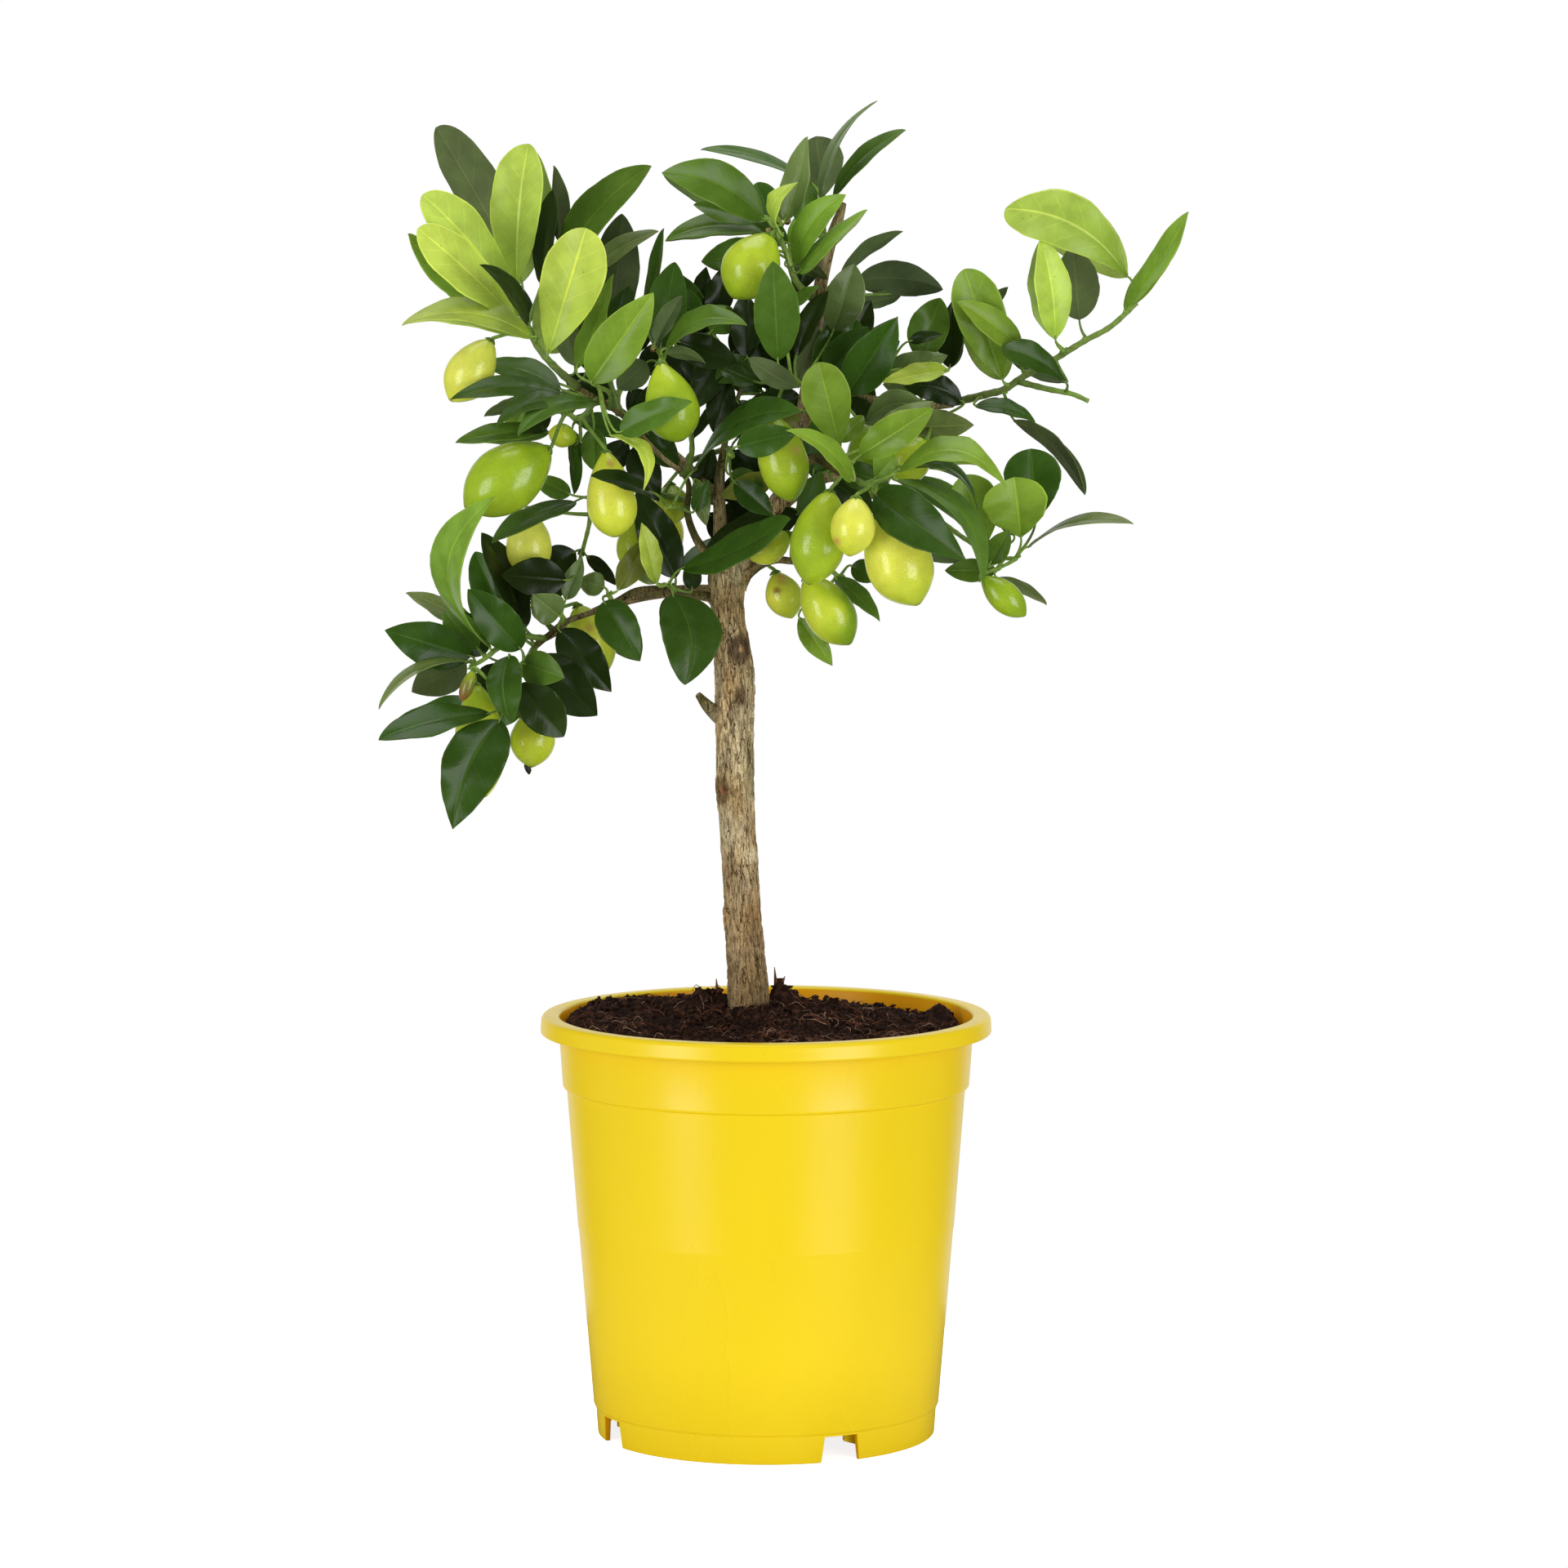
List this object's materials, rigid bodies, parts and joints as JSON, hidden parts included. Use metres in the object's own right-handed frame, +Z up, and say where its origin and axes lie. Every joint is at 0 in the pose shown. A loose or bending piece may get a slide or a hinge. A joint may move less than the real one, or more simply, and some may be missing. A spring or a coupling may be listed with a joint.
{
  "type": "potted limequat tree",
  "caption": "Small standard limequat tree with oval leaves and lime-to-yellow fruit on a bare woody trunk, growing in a round grower's pot with a rolled rim and drainage notches.",
  "frame": {"origin": "on the surface the pot stands on, under the middle of the whole plant's box; the pot's own axis is 2.2 mm left and 8.7 mm to the front of it", "axes": "+Z up along the trunk, +X to the right and +Y away from the viewer when the plant is seen from its front"},
  "size_m": [0.3458, 0.2081, 0.5631],
  "materials": {
    "pot_yellow": "satin injection-moulded polypropylene",
    "potting_soil": "loose damp peat and coconut fibre, matt",
    "bark": "dry fissured bark, matt",
    "leaf_green": "waxy leaf, satin above and matt beneath",
    "limequat_rind": "smooth oily rind with fine pores, glossy"
  },
  "bodies": {
    "root": {"far_shoot_front_right": "leaf_green", "far_shoot_high_centre": "leaf_green", "far_shoot_left_cluster": "leaf_green", "far_shoot_left_inner": "leaf_green", "far_shoot_right_branch": "leaf_green", "far_shoot_upper_left": "leaf_green", "limequat_01": "limequat_rind", "limequat_02": "limequat_rind", "limequat_03": "limequat_rind", "limequat_04": "limequat_rind", "limequat_05": "limequat_rind", "limequat_06": "limequat_rind", "limequat_07": "limequat_rind", "limequat_08": "limequat_rind", "limequat_09": "limequat_rind", "limequat_10": "limequat_rind", "limequat_11": "limequat_rind", "limequat_12": "limequat_rind", "limequat_13": "limequat_rind", "limequat_14": "limequat_rind", "limequat_15": "limequat_rind", "limequat_16": "limequat_rind", "limequat_17": "limequat_rind", "limequat_18": "limequat_rind", "limequat_19": "limequat_rind", "limequat_20": "limequat_rind", "limequat_21": "limequat_rind", "limequat_22": "limequat_rind", "limequat_23": "limequat_rind", "limequat_24": "limequat_rind", "limequat_25": "limequat_rind", "pot": "pot_yellow", "potting_soil": "potting_soil", "shoot_centre_left": "leaf_green", "shoot_front_centre": "leaf_green", "shoot_front_high": "leaf_green", "shoot_front_right": "leaf_green", "shoot_hanging_left": "leaf_green", "shoot_high_centre": "leaf_green", "shoot_high_left": "leaf_green", "shoot_high_right": "leaf_green", "shoot_inner_back": "leaf_green", "shoot_left_cluster": "leaf_green", "shoot_left_crown": "leaf_green", "shoot_left_inner": "leaf_green", "shoot_left_tip": "leaf_green", "shoot_low_centre": "leaf_green", "shoot_low_front": "leaf_green", "shoot_low_left": "leaf_green", "shoot_low_middle": "leaf_green", "shoot_low_right": "leaf_green", "shoot_low_under": "leaf_green", "shoot_middle": "leaf_green", "shoot_right_base": "leaf_green", "shoot_right_branch": "leaf_green", "shoot_right_inner": "leaf_green", "shoot_top": "leaf_green", "shoot_upper_left": "leaf_green", "trunk_and_limbs": "bark"}
  },
  "joints": []
}
